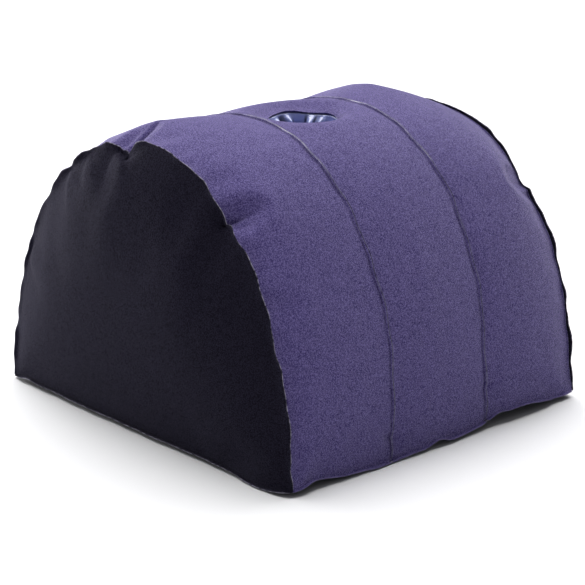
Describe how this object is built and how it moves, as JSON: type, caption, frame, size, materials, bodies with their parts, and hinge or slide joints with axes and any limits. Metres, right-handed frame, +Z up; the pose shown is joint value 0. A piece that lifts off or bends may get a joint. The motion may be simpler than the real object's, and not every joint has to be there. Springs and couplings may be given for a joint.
{
  "type": "inflatable half-round bolster cushion",
  "caption": "Inflatable half-round bolster cushion with flocked lobes, a flat base, a round lined pocket in its crown and a screw-down air valve on one end.",
  "frame": {"origin": "centre of the base's underside, midway between the two end seams", "axes": "+Z up, +X across the arch, -Y out of the plain front end, +Y out of the rear end that carries the valve"},
  "size_m": [0.452, 0.4574, 0.3],
  "materials": {
    "purple_flock": "short velvety flock",
    "black_flock": "short velvety flock",
    "inner_film": "smooth film",
    "blue_vinyl": "glossy soft vinyl",
    "valve_plastic": "moulded, fine grain",
    "valve_soft": "satin soft vinyl",
    "seal_rubber": "matte silicone"
  },
  "bodies": {
    "cushion": {"front_end_panel": "black_flock", "rear_end_panel": "black_flock", "base_panel": "black_flock", "front_cover_panel": "purple_flock", "middle_cover_panel": "purple_flock", "rear_cover_panel": "purple_flock", "front_baffle": "inner_film", "rear_baffle": "inner_film", "pocket_liner": "blue_vinyl", "pocket_rim": "inner_film", "pocket_floor": "blue_vinyl", "valve_base": "valve_plastic"},
    "seal": {"seal_ring": "seal_rubber"},
    "collar": {"screw_collar": "valve_plastic", "valve_insert": "valve_plastic"},
    "flap": {"check_flap": "seal_rubber"},
    "strap_ring": {"strap_ring": "valve_soft"},
    "stopper": {"stopper": "valve_soft"}
  },
  "joints": [
    {"name": "collar_lift", "type": "slide", "parent": "cushion", "child": "seal", "axis": [0, 1, 0], "range_m": [0, 0.009]},
    {"name": "collar_turn", "type": "hinge", "parent": "seal", "child": "collar", "pos_m": [-0.06, 0.22, 0.11], "axis": [0, 1, 0], "range_deg": [0, 1080]},
    {"name": "strap_swivel", "type": "hinge", "parent": "collar", "child": "strap_ring", "pos_m": [-0.06, 0.22, 0.11], "axis": [0, 1, 0], "continuous": true},
    {"name": "stopper_hinge", "type": "hinge", "parent": "strap_ring", "child": "stopper", "pos_m": [-0.06, 0.2362, 0.09035], "axis": [-1, 0, 0], "range_deg": [0, 150]},
    {"name": "flap_hinge", "type": "hinge", "parent": "collar", "child": "flap", "pos_m": [-0.06, 0.2135, 0.1209], "axis": [-1, 0, 0], "range_deg": [0, 45]}
  ],
  "couplings": [
    {"joint": "collar_lift", "follows": "collar_turn", "m_per_rad": 0.00047746}
  ]
}
